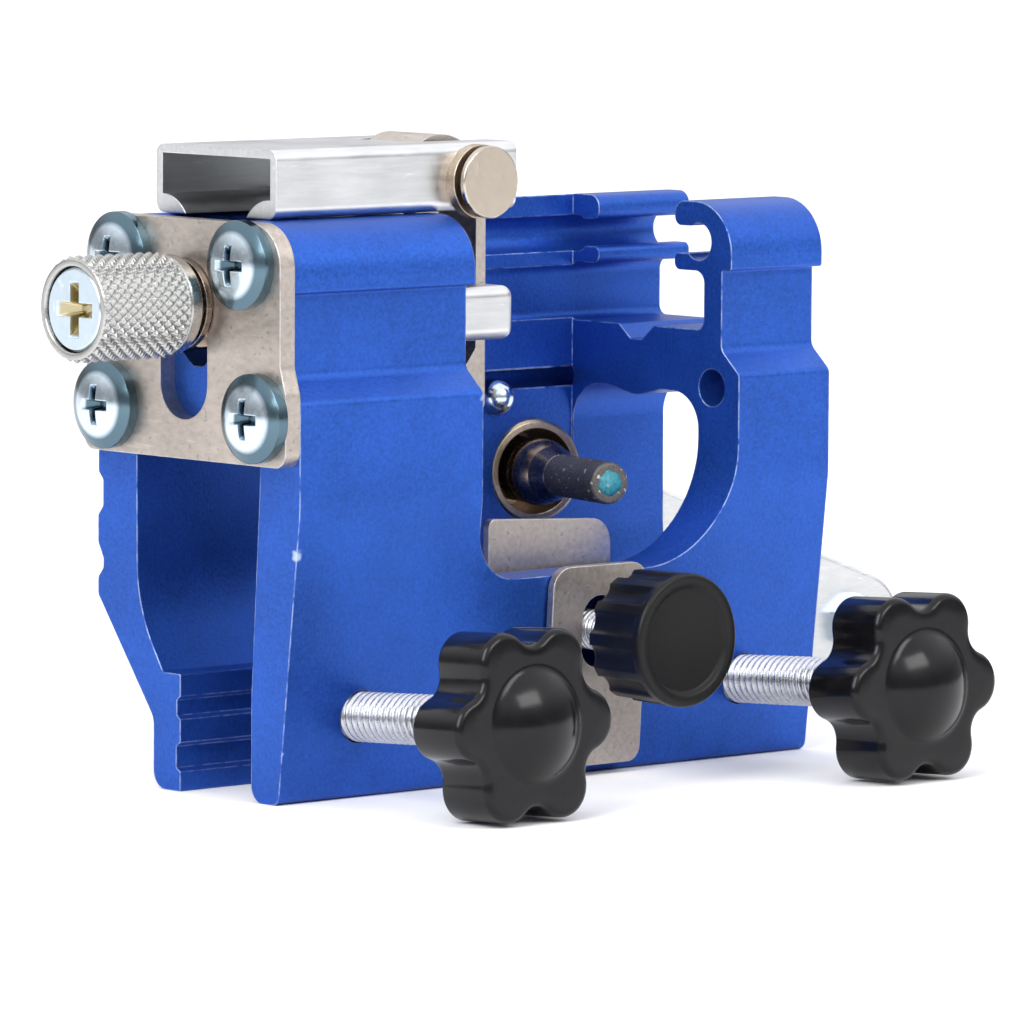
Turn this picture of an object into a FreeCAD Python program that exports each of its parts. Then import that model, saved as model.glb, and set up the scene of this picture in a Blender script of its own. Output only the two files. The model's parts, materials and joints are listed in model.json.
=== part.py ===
import FreeCAD, Part
import math
import os

# Hand-cranked chain sharpening jig: an anodised extrusion that straddles a saw bar, with a stop
# carriage on top, a cranked burr through the back leg and clamp screws through the front leg.
# Millimetres. X runs along the extrusion, -Y is the screw side, +Z is up. The shapes are drawn
# with the feet at Z 0 and the left end at X 0, then moved so that the bar pad is the origin.

V = FreeCAD.Vector

# ---- driving dimensions ----
LENGTH = 84.0
HALF_WIDTH = 18.0
HEIGHT = 66.8
HOOK_Y = 16.55          # outer face of the two top hooks
NECK_Y = 14.9           # outer face of the recessed band below the hooks
HOOK_TIP_Y = 6.7        # where the hook lips end
CAVITY_Y = 11.85        # inner wall of the slider channel
WEB_TOP_Z = 51.45
LEG_INNER_Y = 10.95
PAD_Y = 3.15            # bearing face of the serrated bar pad
PAD_TOP_Z = 13.7
TAPER_KNEE_Z = 34.0     # the front leg tapers inward below this height
TAPER_FOOT_Y = 14.3
PORT_R = 2.25           # screw ports for the end plate
UPPER_PORT = (10.8, 62.0)
LOWER_PORT = (13.3, 44.6)

WINDOW_X = (28.0, 69.0)
WINDOW_BOTTOM_Z = 24.2
WINDOW_BACK_Y = 11.35

PLATE_THICK = 2.2
PLATE_TOP_HALF = 17.0
SCREW_HOLE_R = 2.6
HEAD_R = 5.15           # pan heads of the plate screws
HEAD_RIM = 1.3
HEAD_CROWN = 1.5
SCREW_END_X = 11.0
PLATE_BOTTOM_Z = 39.1
PLATE_SLOT_R = 4.2
PLATE_SLOT_Z = (47.85, 57.0)

ADJUST_Z = 57.0         # axis of the adjusting screw
SLEEVE_R = 6.15
SLEEVE_X = (-18.7, -4.1)
M5_R = 2.45
M5_BORE_R = 2.52
ADJUST_END_X = 21.0
NECK_R = 3.95

SLIDER_X = (8.0, 38.8)
SLIDER_HALF = 11.6
SLIDER_Z = (51.75, 58.05)
SLIDER_CORNER = 1.3
NECK_X = (19.5, 27.0)   # neck and tongue that carry the channel

CHANNEL_X = (2.6, 39.6)
CHANNEL_HALF = 10.65
CHANNEL_Z = (66.95, 74.9)
CHANNEL_WALL = 1.05
TONGUE_HALF = 9.3
CHANNEL_CORNER = 1.3
CHANNEL_SLOT_X = 27.6
LIP_EDGE_Y = 5.4
CROSS_SCREW_AT = (23.2, 71.3)   # X and Z of the screw that locks the channel to the slider
CROSS_SCREW_R = 2.0

PIVOT = (33.0, 70.4)    # X and Z of the pawl pivot
PIN_R = 1.98
PAWL_HALF = 4.5
PAWL_SHEET = 1.5
PAWL_WEB_X = 38.9
EYE_R = 5.25

BURR_ANGLE = 13.6       # degrees of skew of the burr from square across the bar
BURR_POINT = V(62.4, 11.0, 33.35)
GUIDE_R = 6.3
GUIDE_LENGTH = 17.0
SPINDLE_R = 3.94
GUIDE_BORE_R = 4.0
MOUTH_R = 5.2
MOUTH_DEPTH = 8.6
BALL_R = 4.1
BURR_R = 2.6
BURR_REACH = 19.0
CRANK_THROW = 64.0
CRANK_DROP = 21.5       # degrees that the crank arm hangs below level
CRANK_HALF = 6.5
CRANK_THICK = 3.0
GRIP_R = 7.0
GRIP_LENGTH = 24.0
GRIP_BOLT_R = 2.0
CRANK_SCREW_R = 1.72

GRUB_AT = (63.3, 14.6)  # X and Y of the screw that pinches the guide sleeve
GRUB_R = 1.6
LIMIT_R = 2.2
LIMIT_X = 56.3
LIMIT_Z = 42.6

CLAMP_X = (11.6, 72.3)
CLAMP_Z = 9.6           # height of the clamp screws at the outer face of the front leg
CLAMP_TILT = 3.2        # degrees that the clamp screws rise outward
M6_R = 2.97
M6_BORE_R = 3.05
CLAMP_REACH = (30.2, 31.5)   # from the leg face to the front of each star knob
STAR_THICK = 8.0
STAR_LOBE_AT = 8.25     # circle of the six lobe centres
STAR_LOBE_R = 3.6
STAR_HOLLOW_AT = 11.88  # circle of the six hollow centres
STAR_HOLLOW_R = 2.68
STAR_DOME_R = 6.6
STAR_DOME_H = 2.6
TIP_R = 2.7
TIP_LENGTH = 1.3
CLAMP_INSIDE = 6.6      # from the leg face to the inner end of the screw

BRACKET_X = (39.3, 54.3)
BRACKET_Z = (1.3, 25.2)
BRACKET_THICK = 1.0
BRACKET_LEAN = 3.5      # degrees; less than the leg, so only the top edge is close
STUD_X = 46.8
STUD_Z = 17.4
STUD_R = 2.45
KNOB_Y = (-33.0, -24.0)
KNOB_R = 7.85
KNOB_RIM = 1.3          # smooth band in front of the flutes
KNOB_FLUTES = 12
FLUTE_AT = 8.55
FLUTE_R = 1.45
DISH_R = 6.05
DISH_DEPTH = 0.6
INSERT_R = 3.58
INSERT_FLOOR = 1.6      # from the knob's face to the floor of the threaded hole
STUD_END_Y = KNOB_Y[0] + INSERT_FLOOR + 5.1

REST_X = (37.0, 56.5)   # inner rest plate
REST_Z = (13.0, 30.4)
REST_Y = (-9.1, -8.1)

PAD_ORIGIN = V(LENGTH / 2, PAD_Y, PAD_TOP_Z / 2)
CLAMP_FACE_Y = -(TAPER_FOOT_Y + (HALF_WIDTH - TAPER_FOOT_Y) * CLAMP_Z / TAPER_KNEE_Z)
OVER = 1.0              # how far a cutting shape runs past the face it cuts


# ---- shape helpers ----
def save(name, shape):
    moved = shape.copy()
    moved.translate(-PAD_ORIGIN)
    moved.exportStep("parts/" + name + ".step")


def box(x, y, z):
    return Part.makeBox(x[1] - x[0], y[1] - y[0], z[1] - z[0], V(x[0], y[0], z[0]))


def cyl(radius, start, end):
    """Round bar from one point to another."""
    return Part.makeCylinder(radius, (end - start).Length, start, end - start)


def ring(outer, inner, start, end):
    return cyl(outer, start, end).cut(cyl(inner, start, end))


def outline(corners):
    """Closed face from (a, b, radius) corners in the XY plane; each corner is rounded by its radius."""
    points = [V(a, b, 0) for a, b, _ in corners]
    edges = []
    ends = []
    count = len(points)
    for i, corner in enumerate(corners):
        here = points[i]
        before = (points[i - 1] - here).normalize()
        after = (points[(i + 1) % count] - here).normalize()
        if corner[2] <= 0:
            ends.append((here, None, here))
            continue
        half = before.getAngle(after) / 2
        reach = corner[2] / math.tan(half)
        middle = (before + after).normalize()
        centre = here + middle * (corner[2] / math.sin(half))
        ends.append((here + before * reach, centre - middle * corner[2], here + after * reach))
    for i in range(count):
        start, bulge, stop = ends[i]
        if bulge is not None:
            edges.append(Part.Arc(start, bulge, stop).toShape())
        nxt = ends[(i + 1) % count][0]
        if (nxt - stop).Length > 1e-6:
            edges.append(Part.LineSegment(stop, nxt).toShape())
    return Part.Face(Part.Wire(edges))


def along_x(face, x):
    """Extrude a face drawn as (Y, Z) between two X stations."""
    solid = face.extrude(V(0, 0, x[1] - x[0]))
    solid.transformShape(FreeCAD.Matrix(0, 0, 1, x[0], 1, 0, 0, 0, 0, 1, 0, 0, 0, 0, 0, 1))
    return solid


def along_y(face, y):
    """Extrude a face drawn as (X, Z) between two Y stations."""
    solid = face.extrude(V(0, 0, y[0] - y[1]))
    solid.transformShape(FreeCAD.Matrix(1, 0, 0, 0, 0, 0, -1, y[0], 0, 1, 0, 0, 0, 0, 0, 1))
    return solid


def mirror_y(corners):
    return [(-y, z, r) for y, z, r in reversed(corners)]


def chamfered(radius, start, end, cut):
    """Round bar whose two rims are chamfered."""
    bar = cyl(radius, start, end)
    rims = [e for e in bar.Edges if isinstance(e.Curve, Part.Circle)]
    return bar.makeChamfer(cut, rims)


# ---- body extrusion ----
def body_profile():
    hook = [
        (-NECK_Y, 49.2, 1.5), (-NECK_Y, 58.75, 0.3), (-HOOK_Y, 58.75, 0.4), (-HOOK_Y, HEIGHT, 6.3),
        (-HOOK_TIP_Y, HEIGHT, 1.6), (-HOOK_TIP_Y, 63.8, 1.1), (-12.2, 63.9, 0.8), (-12.2, 60.5, 0.5),
        (-HOOK_TIP_Y, 60.5, 0.8), (-HOOK_TIP_Y, 58.5, 0.9), (-CAVITY_Y, 58.5, 1.5),
        (-CAVITY_Y, WEB_TOP_Z, 1.2), (-3.1, WEB_TOP_Z, 0.6), (-0.95, 49.7, 0.4)]
    front_leg_outer = [(-TAPER_FOOT_Y, 0, 1.2), (-HALF_WIDTH, TAPER_KNEE_Z, 24.0), (-HALF_WIDTH, 46.4, 1.0)]
    back_leg_outer = [
        (HALF_WIDTH, 46.4, 1.0), (HALF_WIDTH, 36.3, 0.5), (17.2, 35.4, 0.5), (17.2, 32.3, 0.5),
        (18.1, 31.2, 0.6), (18.1, 28.0, 1.2), (17.15, 26.2, 0.7), (17.15, 25.0, 0.7),
        (18.1, 23.9, 0.8), (18.1, 21.9, 1.0), (7.95, 8.2, 2.5), (7.95, 0, 2.2)]
    pad = [(PAD_Y, 0, 0.2)]
    for low, high, depth in ((2.3, 5.7, 0.7), (8.4, 11.1, 0.6)):
        floor_y = PAD_Y + depth
        pad += [(PAD_Y, low, 0), (floor_y, low + 0.45, 0), (floor_y, high - 0.45, 0), (PAD_Y, high, 0)]
    pad += [(PAD_Y, PAD_TOP_Z, 0.2)]
    inside = [
        (6.3, PAD_TOP_Z, 0.4), (LEG_INNER_Y, 21.0, 18.0), (11.1, 43.9, 4.5), (4.5, 43.9, 3.0),
        (0, 42.9, 4.0), (-4.5, 43.9, 3.0), (-11.1, 43.9, 4.5), (-LEG_INNER_Y, 36.0, 12.0),
        (-9.55, 12.0, 18.0), (-9.55, 0, 2.0)]
    return outline(front_leg_outer + hook + mirror_y(hook) + back_leg_outer + pad + inside)


def make_body():
    body = along_x(body_profile(), (0, LENGTH))
    for side in (-1, 1):
        for y, z in (UPPER_PORT, LOWER_PORT):
            body = body.cut(cyl(PORT_R, V(-OVER, side * y, z), V(LENGTH + OVER, side * y, z)))
    window = outline([
        (WINDOW_X[0], HEIGHT + 2, 0), (WINDOW_X[1], HEIGHT + 2, 0),
        (WINDOW_X[1], WINDOW_BOTTOM_Z, 14.0), (WINDOW_X[0], WINDOW_BOTTOM_Z, 6.0)])
    body = body.cut(along_y(window, (-HALF_WIDTH - 2, WINDOW_BACK_Y)))
    body = body.cut(cyl(GUIDE_R, on_burr_axis(-3), on_burr_axis(GUIDE_LENGTH)))
    for x in CLAMP_X:
        body = body.cut(cyl(M6_BORE_R, on_clamp_axis(x, -9), on_clamp_axis(x, 4)))
    slot = outline([
        (STUD_X - 2.75, 11.6, 2.7), (STUD_X + 2.75, 11.6, 2.7),
        (STUD_X + 2.75, 22.9, 2.7), (STUD_X - 2.75, 22.9, 2.7)])
    body = body.cut(along_y(slot, (-HALF_WIDTH - 2, -8.0)))
    body = body.cut(cyl(GRUB_R, V(*GRUB_AT, 38.0), V(*GRUB_AT, 43.0)))
    return body.cut(cyl(LIMIT_R, V(LIMIT_X, 8, LIMIT_Z), V(LIMIT_X, 20, LIMIT_Z)))


# ---- end plate ----
def make_end_plate():
    half = [(-PLATE_TOP_HALF, HEIGHT, 5.0), (-PLATE_TOP_HALF, 50.6, 2.0), (-HALF_WIDTH, 47.4, 2.0),
            (-HALF_WIDTH, PLATE_BOTTOM_Z, 1.8)]
    plate = along_x(outline(mirror_y(half) + half), (-PLATE_THICK, 0))
    front, back = -PLATE_THICK - OVER, OVER
    slot = box((front, back), (-PLATE_SLOT_R, PLATE_SLOT_R), PLATE_SLOT_Z)
    for z in PLATE_SLOT_Z:
        slot = slot.fuse(cyl(PLATE_SLOT_R, V(front, 0, z), V(back, 0, z)))
    plate = plate.cut(slot)
    for side in (-1, 1):
        for y, z in (UPPER_PORT, LOWER_PORT):
            plate = plate.cut(cyl(SCREW_HOLE_R, V(front, side * y, z), V(back, side * y, z)))
    return plate


def pan_screw(y, z):
    """Dome-headed cross-recess screw driven along +X into a port."""
    sphere_r = (HEAD_R ** 2 + HEAD_CROWN ** 2) / (2 * HEAD_CROWN)
    seat = V(-PLATE_THICK, y, z)
    crown = seat - V(HEAD_RIM + HEAD_CROWN, 0, 0)
    dome = Part.makeSphere(sphere_r, crown + V(sphere_r, 0, 0))
    head = cyl(HEAD_R, crown, seat).common(dome)
    head = head.cut(cross_recess(crown, 2.1, 3.0, 0.72))
    return head.fuse(cyl(PORT_R - 0.03, seat, V(SCREW_END_X, y, z)))


def cross_recess(mouth, depth, reach, half):
    """Tapered cross opening towards -X, with its mouth centred on the given point."""
    cross = None
    for across_y in (True, False):
        wide, thin = (reach, half) if across_y else (half, reach)
        low = [V(mouth.x - 0.6, mouth.y + a * wide, mouth.z + b * thin)
               for a, b in ((-1, -1), (1, -1), (1, 1), (-1, 1))]
        tip = 0.35
        deep = [V(mouth.x + depth, mouth.y + a * wide * tip, mouth.z + b * thin * tip)
                for a, b in ((-1, -1), (1, -1), (1, 1), (-1, 1))]
        wires = [Part.makePolygon(low + low[:1]), Part.makePolygon(deep + deep[:1])]
        blade = Part.makeLoft(wires, True, True)
        cross = blade if cross is None else cross.fuse(blade)
    return cross


# ---- thumb screw ----
def at_x(x, y=0.0, z=ADJUST_Z):
    return V(x, y, z)


def make_thumb_sleeve():
    collar = SLEEVE_X[1] - 1.6
    sleeve = chamfered(SLEEVE_R, at_x(SLEEVE_X[0]), at_x(collar), 0.45)
    sleeve = sleeve.fuse(cyl(SLEEVE_R - 0.35, at_x(collar), at_x(SLEEVE_X[1])))
    sleeve = sleeve.cut(cyl(4.95, at_x(SLEEVE_X[0] - 1), at_x(SLEEVE_X[0] + 3.0)))
    return sleeve.cut(cyl(M5_R, at_x(SLEEVE_X[0]), at_x(SLEEVE_X[1] + 1)))


def make_adjusting_screw():
    head = chamfered(4.85, at_x(SLEEVE_X[0] + 0.25), at_x(SLEEVE_X[0] + 3.0), 0.3)
    head = head.cut(cross_recess(at_x(SLEEVE_X[0] + 0.25), 2.2, 3.7, 0.95))
    return head.fuse(cyl(M5_R, at_x(SLEEVE_X[0] + 3.0), at_x(ADJUST_END_X)))


def make_neck_bush():
    """Shouldered bush: its neck turns in the plate slot and its flange runs behind the plate."""
    bush = cyl(NECK_R, at_x(SLEEVE_X[1]), at_x(0.15)).fuse(cyl(5.1, at_x(0.15), at_x(1.7)))
    return bush.cut(cyl(M5_R, at_x(-6), at_x(3)))


def make_neck_clip():
    return ring(5.3, NECK_R, at_x(-PLATE_THICK - 0.95), at_x(-PLATE_THICK - 0.15))


# ---- stop carriage ----
def on_cross_screw(y):
    return V(CROSS_SCREW_AT[0], y, CROSS_SCREW_AT[1])


def make_slider():
    bar = Part.makeBox(SLIDER_X[1] - SLIDER_X[0], 2 * SLIDER_HALF, SLIDER_Z[1] - SLIDER_Z[0],
                       V(SLIDER_X[0], -SLIDER_HALF, SLIDER_Z[0]))
    bar = bar.makeFillet(SLIDER_CORNER, bar.Edges)
    tongue_top = CHANNEL_Z[1] - CHANNEL_WALL - 0.1
    bar = bar.fuse(box(NECK_X, (-5.0, 5.0), (SLIDER_Z[1] - 1, 70.0)))
    bar = bar.fuse(box(NECK_X, (-TONGUE_HALF, TONGUE_HALF), (69.3, tongue_top)))
    bar = bar.cut(cyl(M5_BORE_R, at_x(SLIDER_X[0] - OVER), at_x(NECK_X[1] + OVER)))
    bar = bar.cut(cyl(CROSS_SCREW_R, on_cross_screw(6.0), on_cross_screw(12.0)))
    return bar.removeSplitter()


def make_channel():
    outer_z, top = CHANNEL_Z
    inner = CHANNEL_HALF - CHANNEL_WALL
    ceiling = top - CHANNEL_WALL
    lip_root = outer_z + 2.15
    corner = CHANNEL_CORNER
    points = [V(LIP_EDGE_Y, outer_z, 0), V(CHANNEL_HALF - corner, outer_z, 0),
              V(CHANNEL_HALF, outer_z + corner, 0), V(CHANNEL_HALF, top - corner, 0),
              V(CHANNEL_HALF - corner, top, 0)]
    inner_points = [V(inner, ceiling, 0), V(inner, lip_root, 0), V(LIP_EDGE_Y, outer_z, 0)]

    def flip(point):
        return V(-point.x, point.y, 0)

    def half_edges(turn):
        bend = corner * (1 - math.sqrt(0.5))
        low = Part.Arc(turn(points[1]), turn(V(CHANNEL_HALF - bend, outer_z + bend, 0)), turn(points[2]))
        high = Part.Arc(turn(points[3]), turn(V(CHANNEL_HALF - bend, top - bend, 0)), turn(points[4]))
        lip = Part.Arc(turn(inner_points[1]), turn(V(6.9, outer_z + 1.45, 0)), turn(inner_points[2]))
        return [Part.LineSegment(turn(points[0]), turn(points[1])), low,
                Part.LineSegment(turn(points[2]), turn(points[3])), high, lip,
                Part.LineSegment(turn(inner_points[0]), turn(inner_points[1]))]

    edges = half_edges(lambda point: point) + half_edges(flip)
    edges += [Part.LineSegment(end, flip(end)) for end in (points[4], inner_points[0])]
    wire = Part.Wire(Part.__sortEdges__([edge.toShape() for edge in edges]))
    channel = along_x(Part.Face(wire), CHANNEL_X)
    channel = channel.cut(box((CHANNEL_SLOT_X, CHANNEL_X[1] + OVER), (-LIP_EDGE_Y, LIP_EDGE_Y),
                              (ceiling - OVER, top + OVER)))
    channel = channel.cut(cyl(PIN_R, V(PIVOT[0], -12, PIVOT[1]), V(PIVOT[0], 12, PIVOT[1])))
    return channel.cut(cyl(CROSS_SCREW_R, on_cross_screw(6.0), on_cross_screw(12.0)))


def on_pivot(y):
    return V(PIVOT[0], y, PIVOT[1])


def make_pivot_pin():
    head = chamfered(4.25, on_pivot(-13.7), on_pivot(-12.9), 0.15)
    return head.fuse(cyl(PIN_R, on_pivot(-13.0), on_pivot(12.6)))


def make_pawl():
    """Sheet rolled round the pivot bush, running down as a web to a hooked foot."""
    cx, cz = PIVOT
    web_out = PAWL_WEB_X + PAWL_SHEET
    big = web_out - cx
    turn_z = cz + EYE_R - big
    inner = EYE_R - PAWL_SHEET
    inner_big = big - PAWL_SHEET

    def polar(radius, degrees, z0=cz):
        angle = math.radians(degrees)
        return V(cx + radius * math.cos(angle), z0 + radius * math.sin(angle), 0)

    foot = [V(web_out, 43.6, 0), V(37.0, 36.6, 0), V(34.4, 36.9, 0), V(34.6, 43.6, 0), V(37.3, 48.2, 0),
            V(PAWL_WEB_X, 50.2, 0)]
    edges = [
        Part.Arc(polar(EYE_R, -90), polar(EYE_R, 180), polar(EYE_R, 90)),
        Part.Arc(polar(big, 90, turn_z), polar(big, 45, turn_z), polar(big, 0, turn_z)),
        Part.LineSegment(V(web_out, turn_z, 0), foot[0])]
    edges += [Part.LineSegment(a, b) for a, b in zip(foot, foot[1:])]
    edges += [
        Part.LineSegment(foot[-1], V(PAWL_WEB_X, turn_z, 0)),
        Part.Arc(polar(inner_big, 0, turn_z), polar(inner_big, 45, turn_z), polar(inner_big, 90, turn_z)),
        Part.Arc(polar(inner, 90), polar(inner, 180), polar(inner, -90)),
        Part.LineSegment(polar(inner, -90), polar(EYE_R, -90))]
    face = Part.Face(Part.Wire([edge.toShape() for edge in edges]))
    return along_y(face, (-PAWL_HALF, PAWL_HALF))


# ---- guide sleeve, spindle and crank ----
BURR_DIR = V(math.sin(math.radians(BURR_ANGLE)), math.cos(math.radians(BURR_ANGLE)), 0)


def on_burr_axis(s):
    return BURR_POINT + BURR_DIR * s


def crank_frame(shape):
    """Place a shape drawn with local Z along the spindle and local X along the crank arm."""
    angle = math.radians(BURR_ANGLE)
    drop = math.radians(CRANK_DROP)
    level = V(math.cos(angle), -math.sin(angle), 0)
    arm = level * math.cos(drop) + V(0, 0, -1) * math.sin(drop)
    side = BURR_DIR.cross(arm)
    placed = shape.copy()
    placed.transformShape(FreeCAD.Matrix(
        arm.x, side.x, BURR_DIR.x, BURR_POINT.x, arm.y, side.y, BURR_DIR.y, BURR_POINT.y,
        arm.z, side.z, BURR_DIR.z, BURR_POINT.z, 0, 0, 0, 1))
    return placed


HUB_S = GUIDE_LENGTH + 1.15     # where the crank hub begins, behind the thrust washer
ARM_S = HUB_S + 5.0


def make_guide_sleeve():
    sleeve = chamfered(GUIDE_R - 0.01, on_burr_axis(-0.6), on_burr_axis(GUIDE_LENGTH), 0.35)
    sleeve = sleeve.cut(cyl(MOUTH_R, on_burr_axis(-1.5), on_burr_axis(MOUTH_DEPTH)))
    return sleeve.cut(cyl(GUIDE_BORE_R, on_burr_axis(0), on_burr_axis(GUIDE_LENGTH + 1)))


def make_spindle():
    ball = Part.makeSphere(BALL_R, on_burr_axis(-1.6))
    nose = Part.makeCone(2.5, 3.4, 2.2, on_burr_axis(-7.0), BURR_DIR)
    shaft = cyl(SPINDLE_R, on_burr_axis(-1.6), on_burr_axis(ARM_S + CRANK_THICK))
    spindle = ball.fuse(nose).fuse(shaft)
    spindle = spindle.cut(cyl(1.19, on_burr_axis(-8), on_burr_axis(9)))
    return spindle.cut(cyl(1.75, on_burr_axis(ARM_S - 9), on_burr_axis(ARM_S + CRANK_THICK + 1)))


def make_burr():
    """Straight plated head with a slightly rounded tip, on a thin shank held in the spindle."""
    head = cyl(BURR_R, on_burr_axis(-BURR_REACH), on_burr_axis(-7.1))
    tip = [e for e in head.Edges if isinstance(e.Curve, Part.Circle)
           and (e.Curve.Center - on_burr_axis(-BURR_REACH)).Length < 0.01]
    head = head.makeFillet(0.35, tip)
    return head.fuse(cyl(1.17, on_burr_axis(-7.1), on_burr_axis(8.5)))


def make_crank_arm():
    arm = Part.makeBox(CRANK_THROW, 2 * CRANK_HALF, CRANK_THICK, V(0, -CRANK_HALF, ARM_S))
    for x in (0, CRANK_THROW):
        arm = arm.fuse(Part.makeCylinder(CRANK_HALF, CRANK_THICK, V(x, 0, ARM_S)))
    arm = arm.removeSplitter()
    rims = [e for e in arm.Edges if abs(e.BoundBox.ZMax - e.BoundBox.ZMin) < 1e-6]
    arm = arm.makeFillet(0.5, rims)
    hub = Part.makeCylinder(6.0, ARM_S - HUB_S + 0.5, V(0, 0, HUB_S))
    arm = arm.fuse(hub)
    arm = arm.cut(Part.makeCylinder(SPINDLE_R + 0.02, 20, V(0, 0, HUB_S - OVER)))
    arm = arm.cut(Part.makeCylinder(GRIP_BOLT_R + 0.05, 10, V(CRANK_THROW, 0, ARM_S - 2)))
    return crank_frame(arm)


def crank_bar(radius, x, low, high):
    return Part.makeCylinder(radius, high - low, V(x, 0, low))


def make_crank_screw():
    back = ARM_S + CRANK_THICK
    head = crank_bar(5.2, 0, back, back + 2.2).cut(crank_hex(2.0, 0, back + 0.9, back + 3))
    return crank_frame(head.fuse(crank_bar(CRANK_SCREW_R, 0, back - 9, back)))


def crank_hex(radius, x, low, high):
    points = [V(x + radius * math.cos(math.radians(a)), radius * math.sin(math.radians(a)), low)
              for a in range(0, 361, 60)]
    return Part.Face(Part.makePolygon(points)).extrude(V(0, 0, high - low))


def make_grip():
    low = ARM_S + CRANK_THICK + 0.6
    half = [V(2.15, 0, low), V(5.2, 0, low), V(GRIP_R, 0, low + 5), V(5.9, 0, low + 13),
            V(GRIP_R - 0.6, 0, low + 19)]
    spline = Part.BSplineCurve()
    spline.interpolate(half[1:])
    top = low + GRIP_LENGTH
    edges = [Part.LineSegment(half[0], half[1]).toShape(), spline.toShape(),
             Part.Arc(half[4], V(GRIP_R - 1.9, 0, top - 1.3), V(4.4, 0, top)).toShape(),
             Part.LineSegment(V(4.4, 0, top), V(2.15, 0, top)).toShape(),
             Part.LineSegment(V(2.15, 0, top), half[0]).toShape()]
    grip = Part.Face(Part.Wire(edges)).revolve(V(0, 0, 0), V(0, 0, 1), 360)
    grip.translate(V(CRANK_THROW, 0, 0))
    grip = grip.cut(crank_bar(4.0, CRANK_THROW, top - 2.6, top + 1))
    return crank_frame(grip)


def make_grip_bolt():
    top = ARM_S + CRANK_THICK + 0.6 + GRIP_LENGTH
    bolt = crank_bar(GRIP_BOLT_R, CRANK_THROW, ARM_S - 2.0, top - 2.4)
    bolt = bolt.fuse(crank_bar(3.6, CRANK_THROW, top - 2.5, top - 0.5))
    return crank_frame(bolt.cut(crank_hex(1.6, CRANK_THROW, top - 1.7, top + 1)))


def make_grip_nut():
    nut = crank_hex(3.9, CRANK_THROW, ARM_S - 2.6, ARM_S)
    return crank_frame(nut.cut(crank_bar(GRIP_BOLT_R, CRANK_THROW, ARM_S - 4, ARM_S + 1)))


# ---- clamp screws ----
def on_clamp_axis(x, outward):
    """Point on a clamp screw's axis, at a distance outward from the leg's outer face."""
    tilt = math.radians(CLAMP_TILT)
    return V(x, CLAMP_FACE_Y - outward * math.cos(tilt), CLAMP_Z + outward * math.sin(tilt))


def star_outline(x, outward, inset):
    """Six lobe arcs joined by six tangent hollow arcs, square to the screw."""
    tilt = math.radians(CLAMP_TILT)
    up = V(0, math.sin(tilt), math.cos(tilt))
    centre = on_clamp_axis(x, outward)
    lobe_r = STAR_LOBE_R - inset
    hollow_r = STAR_HOLLOW_R + inset

    def point(radius, turn):
        angle = turn * math.pi / 6
        return centre + V(1, 0, 0) * radius * math.cos(angle) + up * radius * math.sin(angle)

    def touch(lobe, hollow):
        middle = point(STAR_LOBE_AT, lobe)
        return middle + (point(STAR_HOLLOW_AT, hollow) - middle).normalize() * lobe_r

    edges = []
    for lobe in range(0, 12, 2):
        before, after, following = touch(lobe, lobe - 1), touch(lobe, lobe + 1), touch(lobe + 2, lobe + 1)
        edges.append(Part.Arc(before, point(STAR_LOBE_AT + lobe_r, lobe), after).toShape())
        edges.append(Part.Arc(after, point(STAR_HOLLOW_AT - hollow_r, lobe + 1), following).toShape())
    return Part.Wire(edges)


def make_star_knob(x, reach):
    """Moulded six-lobed knob with a low dome on its face."""
    back = reach - STAR_THICK
    stations = ((back, 0.45), (back + 0.45, 0.0), (reach - 0.6, 0.0), (reach, 0.6))
    body = None
    for (low, low_inset), (high, high_inset) in zip(stations, stations[1:]):
        wires = [star_outline(x, low, low_inset), star_outline(x, high, high_inset)]
        piece = Part.makeLoft(wires, True, True)
        body = piece if body is None else body.fuse(piece)
    sphere_r = (STAR_DOME_R ** 2 + STAR_DOME_H ** 2) / (2 * STAR_DOME_H)
    dome = Part.makeSphere(sphere_r, on_clamp_axis(x, reach + STAR_DOME_H - sphere_r))
    dome = dome.common(cyl(STAR_DOME_R, on_clamp_axis(x, reach - 0.5), on_clamp_axis(x, reach + 4)))
    body = body.fuse(dome)
    return body.cut(cyl(M6_R, on_clamp_axis(x, back - 1), on_clamp_axis(x, reach - 1.0)))


def make_clamp_bolt(x, reach):
    return cyl(M6_R, on_clamp_axis(x, -CLAMP_INSIDE), on_clamp_axis(x, reach - 1.0))


def make_clamp_tip(x):
    """Round tip that bears on the bar ahead of the screw."""
    end = -CLAMP_INSIDE - 0.06
    return chamfered(TIP_R, on_clamp_axis(x, end - TIP_LENGTH), on_clamp_axis(x, end), 0.25)


# ---- height stop and its knob ----
def make_bracket():
    """Slotted sheet whose top edge lies on the leg and whose foot stands off it."""
    low, high = BRACKET_Z
    left, right = BRACKET_X
    sheet = outline([(left, low, 1.8), (right, low, 1.8), (right, high, 2.6), (left, high, 2.6)])
    leg_y = -(TAPER_FOOT_Y + (HALF_WIDTH - TAPER_FOOT_Y) * high / TAPER_KNEE_Z)
    face = leg_y - 0.08
    slot = outline([(STUD_X - 2.65, 13.0, 2.6), (STUD_X + 2.65, 13.0, 2.6),
                    (STUD_X + 2.65, 21.6, 2.6), (STUD_X - 2.65, 21.6, 2.6)])
    plate = along_y(sheet, (face - BRACKET_THICK, face))
    plate = plate.cut(along_y(slot, (face - BRACKET_THICK - OVER, face + OVER)))
    plate.rotate(V(0, face, high), V(1, 0, 0), BRACKET_LEAN)
    return plate


def on_stud(y):
    return V(STUD_X, y, STUD_Z)


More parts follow.
